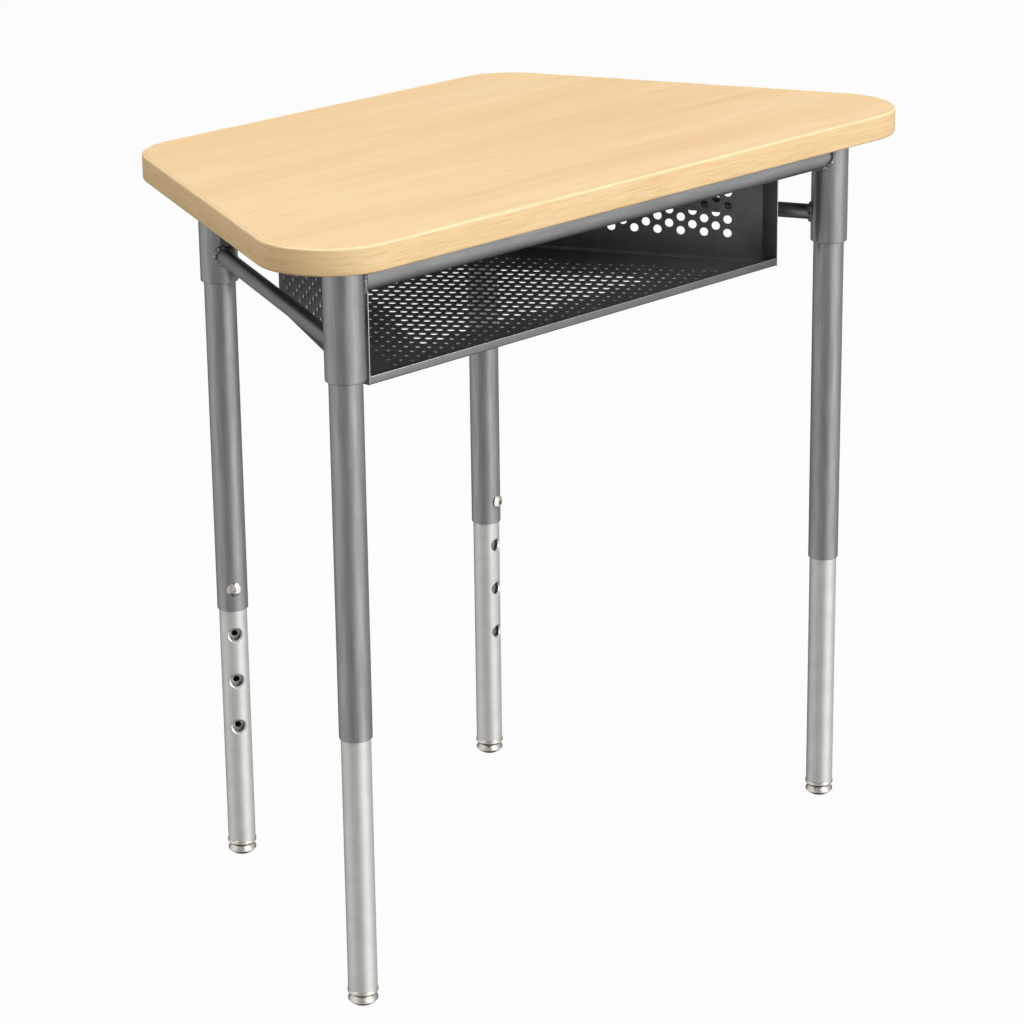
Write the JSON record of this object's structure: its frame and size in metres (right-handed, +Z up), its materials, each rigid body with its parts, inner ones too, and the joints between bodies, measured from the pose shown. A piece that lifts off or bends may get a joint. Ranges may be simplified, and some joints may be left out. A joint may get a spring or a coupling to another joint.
{
  "type": "adjustable school desk",
  "caption": "Trapezoid worktop with rounded corners on a tubular frame, with height-adjustable legs, swivel glides and an open perforated book box.",
  "frame": {"origin": "on the floor, under the middle of the whole desk's box", "axes": "+Z up, +Y from the sitter's long edge towards the short edge, +X to the sitter's right along the long edge"},
  "size_m": [0.8386, 0.4572, 0.762],
  "materials": {
    "laminate": "satin maple-look laminate",
    "edge_band": "satin wood-grain edge band",
    "core": "raw particleboard",
    "backer": "matt backing sheet",
    "frame_paint": "semi-gloss metallic grey",
    "box_paint": "semi-gloss dark grey",
    "nickel": "satin nickel plate",
    "glide_nickel": "bright nickel plate",
    "zinc": "zinc plate"
  },
  "bodies": {
    "desk": {"worktop_laminate": "laminate", "edge_band": "edge_band", "worktop_core": "core", "worktop_backer": "backer", "socket_front_left": "frame_paint", "fixing_tab_front_left": "frame_paint", "leg_tube_front_left": "frame_paint", "tab_screw_front_left": "zinc", "leg_screw_front_left": "nickel", "socket_front_right": "frame_paint", "fixing_tab_front_right": "frame_paint", "leg_tube_front_right": "frame_paint", "tab_screw_front_right": "zinc", "leg_screw_front_right": "nickel", "socket_rear_left": "frame_paint", "fixing_tab_rear_left": "frame_paint", "leg_tube_rear_left": "frame_paint", "tab_screw_rear_left": "zinc", "leg_screw_rear_left": "nickel", "socket_rear_right": "frame_paint", "fixing_tab_rear_right": "frame_paint", "leg_tube_rear_right": "frame_paint", "tab_screw_rear_right": "zinc", "leg_screw_rear_right": "nickel", "front_rail": "frame_paint", "rear_rail": "frame_paint", "side_rail_left": "frame_paint", "side_rail_right": "frame_paint", "book_box_floor": "box_paint", "book_box_left_wall": "box_paint", "book_box_right_wall": "box_paint", "book_box_rear_wall": "box_paint", "box_screw_left_1": "zinc", "box_screw_left_2": "zinc", "box_screw_left_3": "zinc", "box_screw_right_1": "zinc", "box_screw_right_2": "zinc", "box_screw_right_3": "zinc", "box_screw_rear_1": "zinc", "box_screw_rear_2": "zinc"},
    "front_left_leg": {"leg_insert_front_left": "nickel", "glide_plug_front_left": "glide_nickel"},
    "front_left_foot": {"glide_foot_front_left": "glide_nickel"},
    "front_right_leg": {"leg_insert_front_right": "nickel", "glide_plug_front_right": "glide_nickel"},
    "front_right_foot": {"glide_foot_front_right": "glide_nickel"},
    "rear_left_leg": {"leg_insert_rear_left": "nickel", "glide_plug_rear_left": "glide_nickel"},
    "rear_left_foot": {"glide_foot_rear_left": "glide_nickel"},
    "rear_right_leg": {"leg_insert_rear_right": "nickel", "glide_plug_rear_right": "glide_nickel"},
    "rear_right_foot": {"glide_foot_rear_right": "glide_nickel"}
  },
  "joints": [
    {"name": "front_left_leg_slide", "type": "slide", "parent": "desk", "child": "front_left_leg", "axis": [0, 0, 1], "range_m": [0, 0.1524]},
    {"name": "front_right_leg_slide", "type": "slide", "parent": "desk", "child": "front_right_leg", "axis": [0, 0, 1], "range_m": [0, 0.1524]},
    {"name": "rear_left_leg_slide", "type": "slide", "parent": "desk", "child": "rear_left_leg", "axis": [0, 0, 1], "range_m": [0, 0.1524]},
    {"name": "rear_right_leg_slide", "type": "slide", "parent": "desk", "child": "rear_right_leg", "axis": [0, 0, 1], "range_m": [0, 0.1524]},
    {"name": "front_left_foot_tilt", "type": "hinge", "parent": "front_left_leg", "child": "front_left_foot", "pos_m": [-0.34449, -0.1676, 0.006], "axis": [1, 0, 0], "range_deg": [-6, 6]},
    {"name": "front_right_foot_tilt", "type": "hinge", "parent": "front_right_leg", "child": "front_right_foot", "pos_m": [0.34449, -0.1676, 0.006], "axis": [1, 0, 0], "range_deg": [-6, 6]},
    {"name": "rear_left_foot_tilt", "type": "hinge", "parent": "rear_left_leg", "child": "rear_left_foot", "pos_m": [-0.18647, 0.183, 0.006], "axis": [1, 0, 0], "range_deg": [-6, 6]},
    {"name": "rear_right_foot_tilt", "type": "hinge", "parent": "rear_right_leg", "child": "rear_right_foot", "pos_m": [0.18647, 0.183, 0.006], "axis": [1, 0, 0], "range_deg": [-6, 6]}
  ]
}
